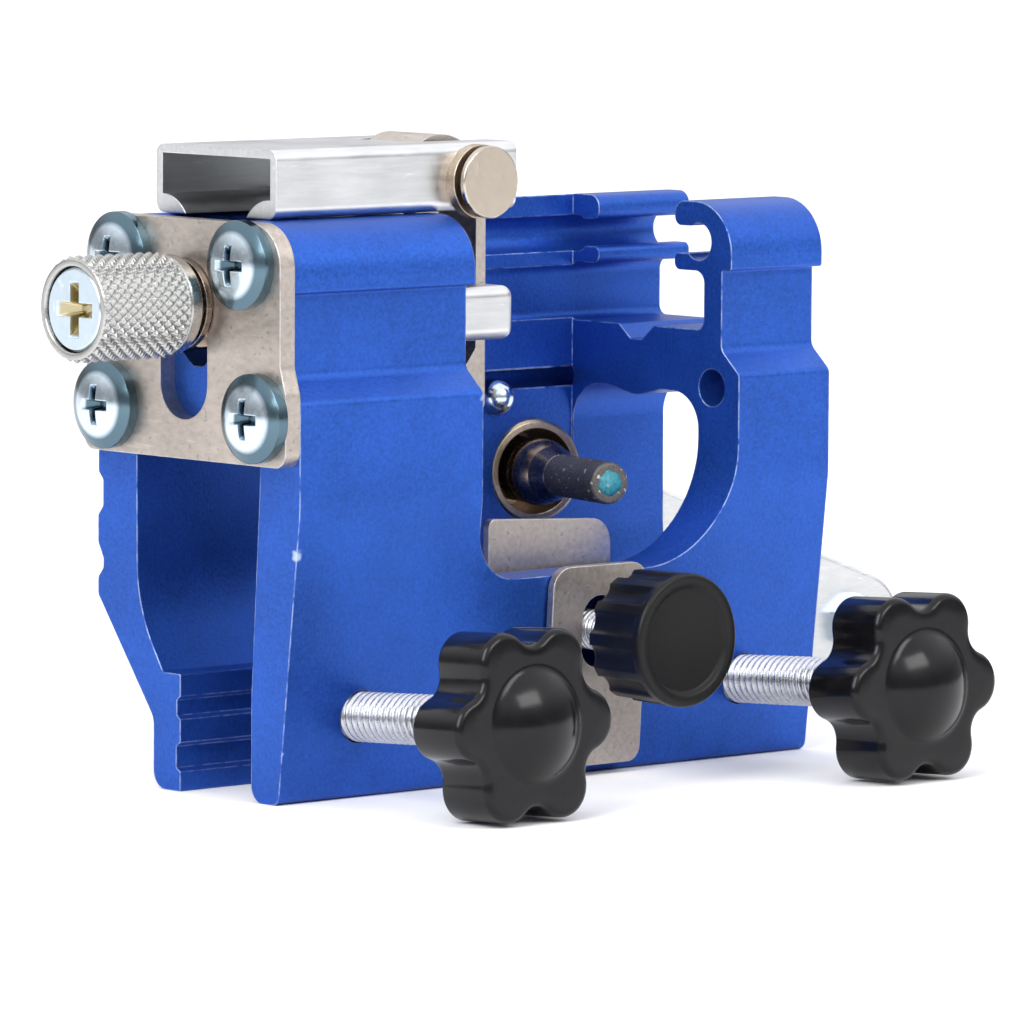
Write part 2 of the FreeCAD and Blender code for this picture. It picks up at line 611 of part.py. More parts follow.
def make_inner_plate():
    """Rest plate inside the front leg, with one large rounded corner."""
    left, right = REST_X
    low, high = REST_Z
    corners = [(left, low, 1.0), (right, low, 1.0), (right, high - 1.0, 3.0), (left, high, 1.0)]
    plate = along_y(outline(corners), REST_Y)
    return plate.cut(cyl(STUD_R + 0.02, on_stud(REST_Y[0] - OVER), on_stud(REST_Y[1] + OVER)))


def make_stud():
    """Lock stud with a low round head behind the rest plate."""
    seat = REST_Y[1] + 0.05
    head = chamfered(4.2, on_stud(seat), on_stud(seat + 1.4), 0.2)
    return head.fuse(cyl(STUD_R, on_stud(STUD_END_Y), on_stud(seat + 0.2)))


def make_lock_knob():
    """Fluted knob with a dished face."""
    face, back = KNOB_Y
    knob = chamfered(KNOB_R, on_stud(face), on_stud(back), 0.3)
    for i in range(KNOB_FLUTES):
        angle = 2 * math.pi * (i + 0.5) / KNOB_FLUTES
        shift = V(math.cos(angle), 0, math.sin(angle)) * FLUTE_AT
        knob = knob.cut(cyl(FLUTE_R, on_stud(face + KNOB_RIM) + shift, on_stud(back + OVER) + shift))
    knob = knob.cut(cyl(DISH_R, on_stud(face - OVER), on_stud(face + DISH_DEPTH)))
    return knob.cut(cyl(INSERT_R + 0.02, on_stud(face + INSERT_FLOOR - 0.4), on_stud(back + OVER)))


def make_knob_insert():
    face, back = KNOB_Y
    insert = cyl(INSERT_R, on_stud(face + INSERT_FLOOR - 0.38), on_stud(back))
    return insert.cut(cyl(STUD_R + 0.06, on_stud(face + INSERT_FLOOR), on_stud(back + OVER)))


def make_knob_washer():
    return ring(5.0, STUD_R + 0.06, on_stud(KNOB_Y[1] + 0.05), on_stud(KNOB_Y[1] + 0.85))


def make_limit_screw():
    """Domed screw in the back wall, with its dome proud of the window face."""
    start = V(LIMIT_X, WINDOW_BACK_Y - 0.3, LIMIT_Z)
    dome = Part.makeSphere(LIMIT_R - 0.02, start)
    return dome.fuse(cyl(LIMIT_R - 0.02, start, V(LIMIT_X, 17.4, LIMIT_Z)))


# ---- write every piece ----
def main():
    os.makedirs("parts", exist_ok=True)
    save("body_extrusion", make_body())
    save("end_plate", make_end_plate())
    screws = [pan_screw(side * y, z) for y, z in (UPPER_PORT, LOWER_PORT) for side in (-1, 1)]
    save("end_plate_screws", Part.makeCompound(screws))
    save("knurled_thumb_sleeve", make_thumb_sleeve())
    save("adjusting_screw", make_adjusting_screw())
    save("neck_bush", make_neck_bush())
    save("neck_clip", make_neck_clip())
    save("slider_block", make_slider())
    save("carriage_channel", make_channel())
    save("channel_lock_screw", cyl(CROSS_SCREW_R - 0.03, on_cross_screw(6.1), on_cross_screw(10.5)))
    save("pivot_pin", make_pivot_pin())
    save("pivot_washer", ring(4.35, PIN_R, on_pivot(-12.0), on_pivot(-CHANNEL_HALF)))
    save("pivot_bush", ring(EYE_R - PAWL_SHEET - 0.06, PIN_R, on_pivot(-5.3), on_pivot(5.3)))
    save("pivot_clip", ring(3.4, PIN_R, on_pivot(CHANNEL_HALF + 0.1), on_pivot(CHANNEL_HALF + 0.9)))
    save("stop_pawl", make_pawl())
    save("guide_sleeve", make_guide_sleeve())
    save("sleeve_grub_screw", cyl(GRUB_R - 0.02, V(*GRUB_AT, 39.9), V(*GRUB_AT, 42.9)))
    save("limit_screw", make_limit_screw())
    save("spindle", make_spindle())
    save("diamond_burr", make_burr())
    washer_ends = (on_burr_axis(GUIDE_LENGTH + 0.1), on_burr_axis(HUB_S - 0.05))
    save("thrust_washer", ring(6.0, SPINDLE_R + 0.06, *washer_ends))
    save("crank_arm", make_crank_arm())
    save("crank_screw", make_crank_screw())
    save("crank_grip", make_grip())
    save("grip_bolt", make_grip_bolt())
    save("grip_nut", make_grip_nut())
    for side, x, reach in zip(("left", "right"), CLAMP_X, CLAMP_REACH):
        save(side + "_clamp_bolt", make_clamp_bolt(x, reach))
        save(side + "_clamp_tip", make_clamp_tip(x))
        save(side + "_star_knob", make_star_knob(x, reach))
    save("height_bracket", make_bracket())
    save("inner_rest_plate", make_inner_plate())
    save("lock_stud", make_stud())
    save("fluted_knob", make_lock_knob())
    save("knob_insert", make_knob_insert())
    save("knob_washer", make_knob_washer())


main()
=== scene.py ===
import bpy
import json
import math
from mathutils import Matrix, Vector, noise


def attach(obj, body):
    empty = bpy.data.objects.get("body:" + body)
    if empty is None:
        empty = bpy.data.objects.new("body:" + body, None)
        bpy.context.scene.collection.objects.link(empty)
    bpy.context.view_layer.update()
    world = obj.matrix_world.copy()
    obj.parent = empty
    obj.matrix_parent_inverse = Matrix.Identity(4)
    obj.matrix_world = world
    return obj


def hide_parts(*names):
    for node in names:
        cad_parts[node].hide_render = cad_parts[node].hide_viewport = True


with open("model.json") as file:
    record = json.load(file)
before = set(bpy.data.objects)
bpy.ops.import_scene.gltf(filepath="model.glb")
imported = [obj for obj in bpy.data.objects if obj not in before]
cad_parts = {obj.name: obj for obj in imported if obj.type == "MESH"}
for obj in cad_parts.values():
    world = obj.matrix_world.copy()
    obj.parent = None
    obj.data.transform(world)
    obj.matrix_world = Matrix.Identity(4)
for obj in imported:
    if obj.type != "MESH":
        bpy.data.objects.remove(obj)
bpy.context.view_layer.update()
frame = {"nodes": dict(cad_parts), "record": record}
cad = frame["nodes"]

# Lengths below are millimetres in the part's drawn frame: feet at Z 0, left end at X 0.
MM = 0.001
PAD_ORIGIN = Vector((42.0, 3.15, 6.85))
TAU = 2 * math.pi

CLAMP_TILT = math.radians(3.2)
CLAMP_FACE = Vector((0, -15.3447, 9.6))
CLAMP_OUT = Vector((0, -math.cos(CLAMP_TILT), math.sin(CLAMP_TILT)))
BURR_POINT = Vector((62.4, 11.0, 33.35))
BURR_ANGLE = math.radians(13.6)
BURR_DIR = Vector((math.sin(BURR_ANGLE), math.cos(BURR_ANGLE), 0))


def place(point):
    """A drawn point in millimetres as a row-frame point in metres."""
    return (Vector(point) - PAD_ORIGIN) * MM


# ---- materials ----
class Graph:
    """Small helper for building one material's node tree."""

    def __init__(self, name):
        self.material = bpy.data.materials.new(name)
        self.material.use_nodes = True
        self.tree = self.material.node_tree
        self.shader = self.tree.nodes["Principled BSDF"]

    def add(self, kind, **values):
        node = self.tree.nodes.new(kind)
        for key, value in values.items():
            setattr(node, key, value)
        return node

    def link(self, source, target):
        self.tree.links.new(source, target)

    def math(self, operation, a, b=None):
        node = self.add("ShaderNodeMath", operation=operation)
        for socket, value in zip(node.inputs, (a, b)):
            if isinstance(value, (int, float)):
                socket.default_value = value
            elif value is not None:
                self.link(value, socket)
        return node.outputs[0]

    def coords(self, stretch):
        source = self.add("ShaderNodeTexCoord")
        mapping = self.add("ShaderNodeMapping")
        mapping.inputs["Scale"].default_value = stretch
        self.link(source.outputs["Object"], mapping.inputs["Vector"])
        return mapping.outputs["Vector"]

    def noise(self, vector, scale, detail=4.0, roughness=0.55):
        node = self.add("ShaderNodeTexNoise")
        node.inputs["Scale"].default_value = scale
        node.inputs["Detail"].default_value = detail
        node.inputs["Roughness"].default_value = roughness
        self.link(vector, node.inputs["Vector"])
        return node.outputs["Fac"]

    def span(self, value, low, high, to_low, to_high):
        node = self.add("ShaderNodeMapRange")
        for socket, number in zip(node.inputs[1:5], (low, high, to_low, to_high)):
            socket.default_value = number
        self.link(value, node.inputs[0])
        return node.outputs[0]

    def mix(self, factor, a, b):
        node = self.add("ShaderNodeMix", data_type="RGBA")
        self.link(factor, node.inputs["Factor"])
        for socket, value in ((node.inputs[6], a), (node.inputs[7], b)):
            if isinstance(value, tuple):
                socket.default_value = (*value, 1.0)
            else:
                self.link(value, socket)
        return node.outputs[2]


def shade(colour, factor):
    return tuple(min(1.0, channel * factor) for channel in colour)


def surface(name, colour, metallic, rough, grain=2600.0, stretch=(1, 1, 1), tint=0.14, bump=0.25,
            depth=0.02, edge=None, edge_mm=0.3, edge_fill=0.6, scratch=None, speck=None, chips=(),
            specular=0.5):
    """One finish: blotches, grain, brushed or scattered scratches, specks, edges lightened as painted
    highlight and partly as wear, and chips.
    """
    g = Graph(name)
    even = g.coords((1, 1, 1))
    along = g.coords(stretch)
    fine = g.noise(along, grain)
    broad = g.noise(even, 95.0, 6.0)
    both = g.math("ADD", g.math("MULTIPLY", fine, 0.55), g.math("MULTIPLY", broad, 0.45))
    spread = g.span(both, 0.3, 0.7, 0.0, 1.0)
    tone = g.mix(spread, shade(colour, 1 - tint), shade(colour, 1 + tint))
    rough_value = g.span(both, 0.3, 0.7, rough - 0.07, rough + 0.07)
    height = fine
    if scratch:
        lines = g.noise(g.coords(scratch), 900.0, 3.0, 0.7)
        marks = g.span(lines, 0.63, 0.72, 0.0, 0.45)
        tone = g.mix(marks, tone, shade(colour, 1.55))
        height = g.math("SUBTRACT", height, g.math("MULTIPLY", marks, 0.6))
    if speck:
        dots = g.span(g.noise(even, 1500.0, 2.0, 0.4), 0.66, 0.74, 0.0, 0.8)
        tone = g.mix(dots, tone, speck)
    bevel = g.add("ShaderNodeBevel", samples=6)
    bevel.inputs["Radius"].default_value = edge_mm * MM
    # Edge band mixed towards the edge colour: a painted highlight along the edges, partly worn edges.
    if edge:
        geometry = g.add("ShaderNodeNewGeometry")
        dot = g.add("ShaderNodeVectorMath", operation="DOT_PRODUCT")
        g.link(bevel.outputs[0], dot.inputs[0])
        g.link(geometry.outputs["Normal"], dot.inputs[1])
        worn_and_highlit = g.span(dot.outputs["Value"], 0.90, 0.985, 1.0, 0.0)
        broken = g.span(g.noise(even, 650.0, 5.0), 0.36, 0.56, 0.0, edge_fill)
        tone = g.mix(g.math("MULTIPLY", worn_and_highlit, broken), tone, edge)
    for centre, radius in chips:
        source = g.add("ShaderNodeTexCoord")
        gap = g.add("ShaderNodeVectorMath", operation="DISTANCE")
        g.link(source.outputs["Object"], gap.inputs[0])
        gap.inputs[1].default_value = place(centre)
        ragged = g.math("ADD", gap.outputs["Value"], g.math("MULTIPLY", g.noise(even, 900.0), 1.6 * MM))
        inside = g.span(ragged, (radius + 0.6) * MM, (radius + 1.0) * MM, 1.0, 0.0)
        tone = g.mix(inside, tone, edge or (0.75, 0.76, 0.78))
    relief = g.add("ShaderNodeBump")
    relief.inputs["Strength"].default_value = bump
    relief.inputs["Distance"].default_value = depth * MM
    g.link(height, relief.inputs["Height"])
    g.link(bevel.outputs[0], relief.inputs["Normal"])
    g.link(relief.outputs[0], g.shader.inputs["Normal"])
    g.link(tone, g.shader.inputs["Base Color"])
    g.link(rough_value, g.shader.inputs["Roughness"])
    g.shader.inputs["Metallic"].default_value = metallic
    g.shader.inputs["Specular IOR Level"].default_value = specular
    return g.material


# BRIGHT and the other edge colours below are painted edge highlight, partly worn metal.
BRIGHT = (0.80, 0.82, 0.86)
finish = {
    "blue_anodised": surface(
        "blue_anodised", (0.018, 0.088, 0.43), 0.72, 0.40, grain=2300.0, tint=0.30, bump=0.75, depth=0.06,
        edge=(0.45, 0.56, 0.80), edge_mm=0.28, edge_fill=0.75,
        chips=(((0.0, -17.4, 29.0), 0.55), ((0.0, -15.2, 6.0), 0.4), ((28.0, -17.9, 45.8), 0.35))),
    "stainless": surface(
        "stainless", (0.47, 0.42, 0.38), 0.95, 0.42, grain=1500.0, stretch=(1, 0.5, 1), tint=0.24, bump=0.35,
        edge=BRIGHT, edge_mm=0.22, scratch=(1, 0.10, 1.3), speck=(0.30, 0.28, 0.25)),
    "zinc_screw": surface(
        "zinc_screw", (0.60, 0.70, 0.78), 1.0, 0.19, grain=1300.0, tint=0.12, bump=0.12, edge=BRIGHT,
        edge_mm=0.18, scratch=(1, 1, 0.35)),
    "knurled_nickel": surface(
        "knurled_nickel", (0.47, 0.47, 0.455), 1.0, 0.25, grain=2400.0, tint=0.16, bump=0.2),
    "raw_aluminium": surface(
        "raw_aluminium", (0.66, 0.67, 0.68), 1.0, 0.34, grain=1700.0, stretch=(0.10, 1, 1), tint=0.15,
        bump=0.3, edge=BRIGHT, edge_mm=0.22, scratch=(0.16, 1, 1)),
    "nickel_pin": surface(
        "nickel_pin", (0.52, 0.455, 0.38), 1.0, 0.21, grain=1500.0, tint=0.14, bump=0.15, edge=BRIGHT,
        edge_mm=0.15, scratch=(1, 1, 0.3)),
    "bronze": surface(
        "bronze", (0.50, 0.40, 0.30), 1.0, 0.33, grain=2000.0, tint=0.28, bump=0.3, edge=(0.80, 0.74, 0.64),
        edge_mm=0.2),
    "black_gloss": surface(
        "black_gloss", (0.0045, 0.0045, 0.0055), 0.0, 0.17, grain=420.0, tint=0.35, bump=0.10, depth=0.05,
        specular=0.27, edge=(0.06, 0.06, 0.07), edge_mm=0.3, edge_fill=0.4, scratch=(1, 0.6, 0.25)),
    "black_satin": surface(
        "black_satin", (0.0055, 0.0055, 0.006), 0.0, 0.36, grain=2400.0, tint=0.3, bump=0.4, depth=0.03,
        specular=0.25, edge=(0.07, 0.07, 0.075), edge_mm=0.25, edge_fill=0.5, scratch=(0.4, 1, 1)),
    "zinc_thread": surface("zinc_thread", (0.55, 0.56, 0.60), 1.0, 0.27, grain=1500.0, tint=0.2, bump=0.2),
    "dark_steel": surface(
        "dark_steel", (0.22, 0.17, 0.14), 1.0, 0.27, grain=1700.0, tint=0.25, bump=0.2, edge=(0.5, 0.5, 0.5),
        edge_mm=0.2, scratch=(1, 1, 0.3)),
    "diamond_grit": surface(
        "diamond_grit", (0.135, 0.125, 0.115), 0.55, 0.40, grain=5200.0, tint=0.6, bump=0.9, depth=0.06,
        speck=(0.78, 0.70, 0.52)),
    "grip_plastic": surface(
        "grip_plastic", (0.026, 0.026, 0.028), 0.0, 0.45, grain=1900.0, tint=0.3, bump=0.4, depth=0.03),
    "nylon": surface("nylon", (0.74, 0.73, 0.69), 0.0, 0.48, grain=1400.0, tint=0.08, bump=0.2),
    "turquoise_core": surface(
        "turquoise_core", (0.045, 0.30, 0.36), 0.0, 0.45, grain=2500.0, tint=0.5, bump=0.6,
        speck=(0.40, 0.36, 0.28)),
}
# Blend width into the second colour, which is painted shade on the end plate screws.
TINT_FADE = 0.25


def tint_past_x(base, far_colour, start_x):
    """The base finish, with a second colour on everything further along X than the start."""
    material = finish[base].copy()
    material.name = base + "_recess"
    tree = material.node_tree
    shader = tree.nodes["Principled BSDF"]
    tone = shader.inputs["Base Color"].links[0].from_socket
    source = tree.nodes.new("ShaderNodeTexCoord")
    split = tree.nodes.new("ShaderNodeSeparateXYZ")
    step = tree.nodes.new("ShaderNodeMapRange")
    blend = tree.nodes.new("ShaderNodeMix")
    blend.data_type = "RGBA"
    for socket, number in zip(step.inputs[1:5], (start_x, start_x + TINT_FADE * MM, 0.0, 1.0)):
        socket.default_value = number
    tree.links.new(source.outputs["Object"], split.inputs[0])
    tree.links.new(split.outputs["X"], step.inputs[0])
    tree.links.new(step.outputs[0], blend.inputs["Factor"])
    tree.links.new(tone, blend.inputs[6])
    blend.inputs[7].default_value = (*far_colour, 1.0)
    tree.links.new(blend.outputs[2], shader.inputs["Base Color"])
    return material


for part in frame["record"]["subparts"]:
    shown = cad[part["node"]]
    shown.data.materials.clear()
    shown.data.materials.append(finish[part["material_slot"]])
# Adjusting screw: a darker brown on everything past X -18.3.
cad["adjusting_screw"].data.materials.clear()
cad["adjusting_screw"].data.materials.append(
    tint_past_x("zinc_screw", (0.50, 0.44, 0.28), place((-18.3, 0, 0)).x))
# End plate screws: painted shade, a dark colour on the head rims and shanks past X -4.35, in the shadow gap
# between the heads and the plate.
cad["end_plate_screws"].data.materials.clear()
cad["end_plate_screws"].data.materials.append(
    tint_past_x("zinc_screw", (0.10, 0.16, 0.20), place((-4.35, 0, 0)).x))


# ---- mesh helpers ----
def piece(name, points, faces, slot, body, replaced=(), material=None, smooth=True):
    """One shown piece: its mesh from drawn points, riding a body and standing for the replaced nodes."""
    mesh = bpy.data.meshes.new(name)
    mesh.from_pydata([place(p) for p in points], [], faces)
    mesh.materials.append(finish[material or slot])
    mesh.polygons.foreach_set("use_smooth", [smooth] * len(mesh.polygons))
    mesh.update()
    made = bpy.data.objects.new(name, mesh)
    bpy.context.scene.collection.objects.link(made)
    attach(made, body)
    if replaced:
        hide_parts(*replaced)
    return made


def skin(rings, closed_ends=True):
    """Quads between successive rings of equal length, and a fan over each end."""
    count = len(rings[0])
    points = [p for ring in rings for p in ring]
    faces = []
    for row in range(len(rings) - 1):
        low, high = row * count, (row + 1) * count
        for i in range(count):
            j = (i + 1) % count
            faces.append((low + i, low + j, high + j, high + i))
    if closed_ends:
        for ring, start, flip in ((rings[0], 0, True), (rings[-1], len(points) - count, False)):
            middle = sum(ring, Vector()) / count
            points.append(middle)
            hub = len(points) - 1
            for i in range(count):
                j = (i + 1) % count
                faces.append((hub, start + j, start + i) if flip else (hub, start + i, start + j))
    return points, faces


def basis(direction):
    """Two unit vectors square to a direction."""
    helper = Vector((1, 0, 0)) if abs(direction.x) < 0.9 else Vector((0, 0, 1))
    side = direction.cross(helper).normalized()
    return side, direction.cross(side).normalized()


def turned(origin, direction, profile, count=64):
    """Rings of a turned shape. The profile holds (distance, radius) or (distance, function of angle)."""
    side, up = basis(direction)
    rings = []
    for distance, radius in profile:
        ring = []
        for i in range(count):
            angle = TAU * i / count
            r = radius(angle) if callable(radius) else radius
            ring.append(origin + direction * distance + (side * math.cos(angle) + up * math.sin(angle)) * r)
        rings.append(ring)
    return rings


def thread_profile(start, end, crest, root, pitch, steps=12):
    """Stations of a screw thread: each is a ring whose radius winds with the angle."""
    profile = [(start, root - 0.25), (start + 0.3, root)]
    total = int((end - start - 0.6) / pitch * steps)
    for k in range(total + 1):
        distance = start + 0.3 + k * (end - start - 0.6) / total
        fade = min(1.0, (distance - start) / (1.2 * pitch), (end - distance) / (1.2 * pitch))

        def radius(angle, at=distance, strength=fade):
            phase = (at / pitch - angle / TAU) % 1.0
            ramp = min(1.0, max(0.0, (0.5 - abs(phase - 0.5)) * 2.9 - 0.16))
            return root + (crest - root) * ramp * strength

        profile.append((distance, radius))
    return profile + [(end - 0.3, root), (end, root - 0.25)]


# ---- clamp screws ----
CLAMPS = (("left", 11.6, 30.2), ("right", 72.3, 31.5))
LOBE_AT, LOBE_R, HOLLOW_AT, HOLLOW_R = 8.25, 3.6, 11.88, 2.68
STAR_THICK, DOME_R, DOME_H = 8.0, 6.6, 2.6
FRONT_ROUND, BACK_ROUND = 0.85, 0.5
CLAMP_CREST, CLAMP_ROOT, CLAMP_PITCH = 2.96, 2.42, 1.0
THREAD_FROM, THREAD_SHORT = -6.6, 8.2


def star_points(inset):
    """Closed outline of the six-lobed knob, as plane points."""
    outline = []
    lobe_r, hollow_r = LOBE_R - inset, HOLLOW_R + inset
    for lobe in range(6):
        turn = TAU * lobe / 6
        for arc_at, arc_r, toward, steps in (
                (LOBE_AT, lobe_r, turn, 16), (HOLLOW_AT, hollow_r, turn + TAU / 12, 10)):
            is_lobe = arc_at == LOBE_AT
            other_at = HOLLOW_AT if is_lobe else LOBE_AT
            centre = Vector((arc_at * math.cos(toward), arc_at * math.sin(toward)))
            before = Vector((other_at * math.cos(toward - TAU / 12), other_at * math.sin(toward - TAU / 12)))
            reach = (before - centre).normalized()
            first = math.atan2(reach.y, reach.x) - toward
            first = (first + math.pi) % TAU - math.pi
            last = -first
            if not is_lobe:
                first, last = first % TAU, TAU - first % TAU
            for k in range(steps):
                angle = toward + first + (last - first) * k / steps
                outline.append(centre + Vector((math.cos(angle), math.sin(angle))) * arc_r)
    return outline


def build_star(side, x, reach):
    """A star knob: its lobed outline rounded at the back and front, with a low dome on the front."""
    origin = CLAMP_FACE + Vector((x, 0, 0))
    across = Vector((1, 0, 0))
    rise = Vector((0, math.sin(CLAMP_TILT), math.cos(CLAMP_TILT)))

    def ring(distance, inset, round_to=None, blend=0.0):
        made = []
        for p in star_points(inset):
            if round_to is not None:
                p = p.lerp(p.normalized() * round_to, blend)
            made.append(origin + CLAMP_OUT * distance + across * p.x + rise * p.y)
        return made

    back = reach - STAR_THICK
    rings = [ring(back, 1.6, 4.0, 1.0), ring(back, 0.8)]
    for k in range(5):
        a = math.pi / 2 * k / 4
        rings.append(ring(back + BACK_ROUND * (1 - math.cos(a)), BACK_ROUND * (1 - math.sin(a))))
    for k in range(7):
        a = math.pi / 2 * k / 6
        rings.append(ring(reach - FRONT_ROUND + FRONT_ROUND * math.sin(a), FRONT_ROUND * (1 - math.cos(a))))
    rings.append(ring(reach, FRONT_ROUND + 0.5, 7.6, 0.45))
    rings.append(ring(reach, FRONT_ROUND + 0.5, 7.0, 1.0))
    sphere_r = (DOME_R ** 2 + DOME_H ** 2) / (2 * DOME_H)
    for k in range(12):
        r = DOME_R * (1 - k / 12)
        lift = math.sqrt(sphere_r ** 2 - r ** 2) - (sphere_r - DOME_H)
        rings.append(ring(reach + lift, 0.0, r, 1.0))
    points, faces = skin(rings)
    piece(side + "_star_moulding", points, faces, "black_gloss", side + "_clamp", (side + "_star_knob",))


for side, x, reach in CLAMPS:
    build_star(side, x, reach)
    profile = thread_profile(THREAD_FROM, reach - THREAD_SHORT, CLAMP_CREST, CLAMP_ROOT, CLAMP_PITCH)
    rings = turned(CLAMP_FACE + Vector((x, 0, 0)), CLAMP_OUT, profile, 48)
    points, faces = skin(rings)
    piece(side + "_clamp_thread", points, faces, "zinc_thread", side + "_clamp", (side + "_clamp_bolt",))


# ---- height lock stud and fluted knob ----
STUD = Vector((46.8, 0.0, 17.4))
FRONT = Vector((0, 1, 0))
STUD_CREST, STUD_ROOT, STUD_PITCH = 2.44, 2.02, 0.8
stud_profile = thread_profile(-26.3, -8.3, STUD_CREST, STUD_ROOT, STUD_PITCH)
stud_profile += [(-8.05, 2.4), (-8.05, 4.0), (-7.9, 4.2), (-6.85, 4.2), (-6.66, 4.0)]
points, faces = skin(turned(STUD, FRONT, stud_profile, 48))
piece("lock_stud_thread", points, faces, "zinc_thread", "height_stop", ("lock_stud",))

FLUTES, FLUTE_HALF = 12, 1.28


def fluted(radius, cut):
    """Radius against angle for a skirt with rounded flutes cut to a depth."""
    def at(angle):
        nearest = (((angle * FLUTES / TAU) % 1.0) - 0.5) * TAU / FLUTES * radius
        gap = nearest / FLUTE_HALF
        return radius - cut * math.sqrt(max(0.0, 1 - gap * gap))
    return at


knob_profile = [(-32.38, 0.3), (-32.4, 5.9), (-32.46, 6.1), (-32.85, 6.3), (-33.0, 6.5), (-33.0, 7.3)]
for k in range(6):
    a = math.pi / 2 * (k + 1) / 6
    knob_profile.append((-32.5 - 0.5 * math.cos(a), 7.35 + 0.5 * math.sin(a)))
knob_profile += [(-31.75, fluted(7.85, 0.0)), (-31.6, fluted(7.85, 0.3)), (-31.4, fluted(7.85, 0.55))]
knob_profile += [(-31.1, fluted(7.84, 0.72)), (-28.0, fluted(7.78, 0.74)), (-24.4, fluted(7.7, 0.74))]
knob_profile += [(-24.1, fluted(7.5, 0.6)), (-24.0, fluted(7.2, 0.4))]
knob_profile += [(-24.0, 3.6), (-24.4, 3.55), (-24.4, 2.6)]
points, faces = skin(turned(STUD, FRONT, knob_profile, 288))
piece("fluted_knob_moulding", points, faces, "black_satin", "lock_knob", ("fluted_knob",))


# ---- knurled thumb sleeve ----
ADJUST = Vector((0.0, 0.0, 57.0))
AHEAD = Vector((1, 0, 0))
KNURL_COUNT, KNURL_PITCH, KNURL_DEPTH, KNURL_R, KNURL_FLAT = 30, 1.5, 0.50, 6.15, 0.82


def knurl(at):
    """Radius against angle at one station of a diamond knurl."""
    def radius(angle):
        a = (KNURL_COUNT * angle / TAU + at / KNURL_PITCH) % 1.0
        b = (KNURL_COUNT * angle / TAU - at / KNURL_PITCH) % 1.0
        ridge = min(1 - abs(2 * a - 1), 1 - abs(2 * b - 1), KNURL_FLAT) / KNURL_FLAT
        return KNURL_R - KNURL_DEPTH * (1 - ridge)
    return radius


sleeve = [(-15.72, 2.5), (-15.72, 4.95), (-18.5, 4.95), (-18.68, 5.05), (-18.7, 5.2), (-18.7, 5.62)]
sleeve.append((-18.6, 5.78))
KNURL_START, KNURL_END, KNURL_ROWS = -18.3, -6.1, 106
for k in range(KNURL_ROWS + 1):
    station = KNURL_START + (KNURL_END - KNURL_START) * k / KNURL_ROWS
    sleeve.append((station, knurl(station)))
sleeve += [(-5.9, 5.85), (-5.72, 5.6), (-5.68, 5.75), (-5.6, 5.8), (-4.25, 5.8), (-4.1, 5.65), (-4.1, 2.5)]
points, faces = skin(turned(ADJUST, AHEAD, sleeve, 400), closed_ends=False)
piece("thumb_sleeve_knurl", points, faces, "knurled_nickel", "adjuster", ("knurled_thumb_sleeve",),
      smooth=False)


# ---- plated burr ----
BURR_TIP, BURR_BACK, BURR_R, BURR_ROUND = 19.0, 7.1, 2.6, 0.35
SHANK_R, SHANK_END = 1.17, 8.5


def gritty(at, radius):
    """Radius of the burr with its bonded grains standing from the core."""
    def value(angle):
        spot = Vector((math.cos(angle) * 2.6, math.sin(angle) * 2.6, at)) * 4.6
        grain = noise.noise(spot) * 0.5 + noise.noise(spot * 2.3) * 0.5
        return radius - 0.09 + 0.085 * max(-1.0, min(1.0, grain * 1.6))
    return value


burr = [(-BURR_TIP + 0.12, 0.5), (-BURR_TIP + 0.04, 1.6)]
burr += [(-BURR_TIP + BURR_ROUND - BURR_ROUND * math.cos(a),
          gritty(-BURR_TIP, BURR_R - BURR_ROUND + BURR_ROUND * math.sin(a)))
         for a in (0.1, 0.5, 0.9, 1.3)]
BURR_ROWS = 150
for k in range(1, BURR_ROWS + 1):
    station = -BURR_TIP + BURR_ROUND + (BURR_TIP - BURR_ROUND - BURR_BACK) * k / BURR_ROWS
    burr.append((station, gritty(station, BURR_R)))
burr += [(-BURR_BACK, SHANK_R), (SHANK_END, SHANK_R)]
points, faces = skin(turned(BURR_POINT, BURR_DIR, burr, 200))
piece("burr_grit", points, faces, "diamond_grit", "crank", ("diamond_burr",))


def ragged(radius):
    """Uneven edge of the core that shows where the plating has worn off the tip."""
    def value(angle):
        return radius * (1 + 0.16 * noise.noise(Vector((math.cos(angle) * 3.1, math.sin(angle) * 3.1, 0.4))))
    return value


core = [(-BURR_TIP + 0.11, ragged(1.6)), (-BURR_TIP + 0.01, ragged(1.5)), (-BURR_TIP + 0.0, ragged(1.0)),
        (-BURR_TIP + 0.02, 0.3)]
points, faces = skin(turned(BURR_POINT, BURR_DIR, core, 40))
piece("burr_core", points, faces, "diamond_grit", "crank", material="turquoise_core")


# ---- floor, light and camera ----
FLOOR_HALF = 30.0
floor_z = place((0, 0, 0)).z
floor_mesh = bpy.data.meshes.new("floor")
floor_corners = [(x * FLOOR_HALF, y * FLOOR_HALF, floor_z) for x, y in ((-1, -1), (1, -1), (1, 1), (-1, 1))]
floor_mesh.from_pydata(floor_corners, [], [(0, 1, 2, 3)])
floor_paint = Graph("floor_paint")
floor_grain = floor_paint.noise(floor_paint.coords((1, 1, 1)), 40.0)
floor_paint.link(floor_paint.mix(floor_grain, (0.91, 0.91, 0.91), (0.94, 0.94, 0.94)),
                 floor_paint.shader.inputs["Base Color"])
floor_paint.shader.inputs["Roughness"].default_value = 0.9
floor_paint.shader.inputs["Specular IOR Level"].default_value = 0.1
floor_mesh.materials.append(floor_paint.material)
floor = bpy.data.objects.new("floor", floor_mesh)
bpy.context.scene.collection.objects.link(floor)

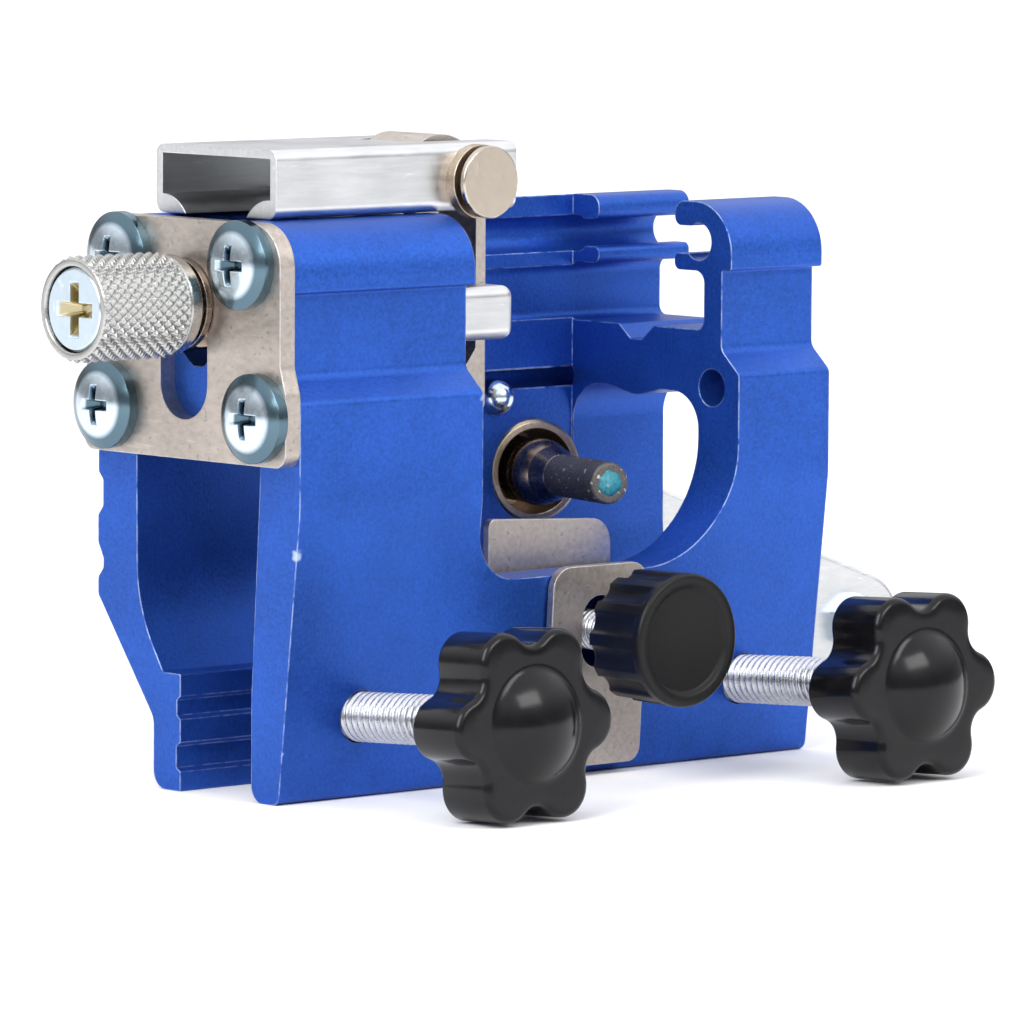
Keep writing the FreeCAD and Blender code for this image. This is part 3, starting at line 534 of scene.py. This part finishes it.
world = bpy.data.worlds.new("studio")
world.use_nodes = True
sky = world.node_tree
sky_coords = sky.nodes.new("ShaderNodeTexCoord")
sky_split = sky.nodes.new("ShaderNodeSeparateXYZ")
sky_ramp = sky.nodes.new("ShaderNodeValToRGB")
SKY_STOPS = ((0.0, 0.20), (0.18, 0.26), (0.50, 0.95), (1.0, 1.0))
SKY_STRENGTH = 1.45
while len(sky_ramp.color_ramp.elements) < len(SKY_STOPS):
    sky_ramp.color_ramp.elements.new(0.5)
for element, (height, grey) in zip(sky_ramp.color_ramp.elements, SKY_STOPS):
    element.position = height
    element.color = (grey, grey, grey * 1.02, 1.0)
sky.links.new(sky_coords.outputs["Generated"], sky_split.inputs[0])
sky.links.new(sky_split.outputs["Z"], sky_ramp.inputs["Fac"])
sky.links.new(sky_ramp.outputs["Color"], sky.nodes["Background"].inputs["Color"])
sky.nodes["Background"].inputs["Strength"].default_value = SKY_STRENGTH
bpy.context.scene.world = world


def area_light(name, position, size, power, target=(0.0, 0.0, 0.03)):
    """A rectangular studio lamp that faces the target."""
    data = bpy.data.lights.new(name, "AREA")
    data.shape = "RECTANGLE"
    data.size, data.size_y = size
    data.energy = power
    made = bpy.data.objects.new(name, data)
    bpy.context.scene.collection.objects.link(made)
    made.location = position
    made.rotation_euler = (Vector(target) - Vector(position)).to_track_quat("-Z", "Y").to_euler()


area_light("key", (-0.55, -0.20, 0.42), (0.35, 0.45), 3.4)
area_light("front_fill", (0.15, -0.75, 0.50), (0.5, 0.25), 2.4)

CAMERA_AZIMUTH = math.radians(-42.24)
CAMERA_PITCH = math.radians(5.37)
CAMERA_ROLL = math.radians(0.30)
CAMERA_AT = Vector((-0.66571, -0.74392, 0.11712))
CAMERA_LENS, CAMERA_SENSOR = 296.2, 36.0
back_dir = Vector((math.sin(CAMERA_AZIMUTH) * math.cos(CAMERA_PITCH),
                   -math.cos(CAMERA_AZIMUTH) * math.cos(CAMERA_PITCH), math.sin(CAMERA_PITCH)))
level_right = (-back_dir).cross(Vector((0, 0, 1))).normalized()
level_up = level_right.cross(-back_dir)
right = level_right * math.cos(CAMERA_ROLL) + level_up * math.sin(CAMERA_ROLL)
up = level_up * math.cos(CAMERA_ROLL) - level_right * math.sin(CAMERA_ROLL)
lens = bpy.data.cameras.new("camera")
lens.lens = CAMERA_LENS
lens.sensor_width = CAMERA_SENSOR
lens.clip_start = 0.01
lens.clip_end = 200.0
camera = bpy.data.objects.new("camera", lens)
camera.matrix_world = Matrix((
    (right.x, up.x, back_dir.x, CAMERA_AT.x), (right.y, up.y, back_dir.y, CAMERA_AT.y),
    (right.z, up.z, back_dir.z, CAMERA_AT.z), (0, 0, 0, 1)))
bpy.context.scene.collection.objects.link(camera)
bpy.context.scene.camera = camera
bpy.context.scene.view_settings.view_transform = "Standard"
